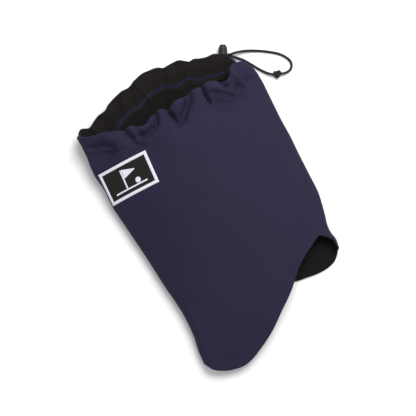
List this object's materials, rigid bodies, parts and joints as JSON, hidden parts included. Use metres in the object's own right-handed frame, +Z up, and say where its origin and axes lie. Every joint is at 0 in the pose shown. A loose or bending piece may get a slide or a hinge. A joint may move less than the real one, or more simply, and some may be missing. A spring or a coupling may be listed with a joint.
{
  "type": "golf neck warmer",
  "caption": "Soft double-walled neck warmer lying flat: gathered drawcord mouth with a cord lock, shaped hem with a long front bib, and a woven patch.",
  "frame": {"origin": "middle of the laid tube's box, on the table", "axes": "+Y up the tube towards the gathered mouth, +X across it, +Z up off the table"},
  "size_m": [0.3207, 0.4242, 0.0647],
  "materials": {
    "softshell": "matt navy soft-shell, very fine plain weave",
    "fleece": "black brushed fleece, short pile",
    "navy_thread": "navy polyester thread",
    "stiffener": "white non-woven stiffener",
    "patch_weave": "black twill weave",
    "white_thread": "white satin-stitch thread",
    "elastic_cord": "black braided elastic cord",
    "eyelet_metal": "black enamelled brass",
    "lock_plastic": "black fine-textured plastic",
    "button_plastic": "black moulded plastic",
    "spring_steel": "bright spring wire"
  },
  "bodies": {
    "root": {"outer_front_panel": "softshell", "outer_back_panel": "softshell", "lining_front_panel": "fleece", "lining_back_panel": "fleece", "channel_facing": "fleece", "channel_stitching": "navy_thread", "right_seam_thread": "navy_thread", "left_seam_thread": "navy_thread", "patch_backing": "stiffener", "patch_ground": "patch_weave", "patch_border": "white_thread", "patch_emblem": "white_thread", "channel_cord": "elastic_cord", "cord_upper_strand": "elastic_cord", "cord_lower_strand": "elastic_cord", "cord_knot": "elastic_cord", "upper_eyelet": "eyelet_metal", "upper_eyelet_washer": "eyelet_metal", "lower_eyelet": "eyelet_metal", "lower_eyelet_washer": "eyelet_metal"},
    "lock": {"lock_body": "lock_plastic", "lock_spring": "spring_steel"},
    "plunger": {"lock_plunger": "button_plastic"}
  },
  "joints": [
    {"name": "lock_slide", "type": "slide", "parent": "root", "child": "lock", "axis": [-0.8772, 0.4801, 0], "range_m": [0, 0.005]},
    {"name": "plunger_press", "type": "slide", "parent": "lock", "child": "plunger", "axis": [-0.4801, -0.8772, 0], "range_m": [0, 0.0026], "stiffness_N_per_m": 800, "springref_m": -0.001, "deforming": ["lock_spring"]}
  ]
}
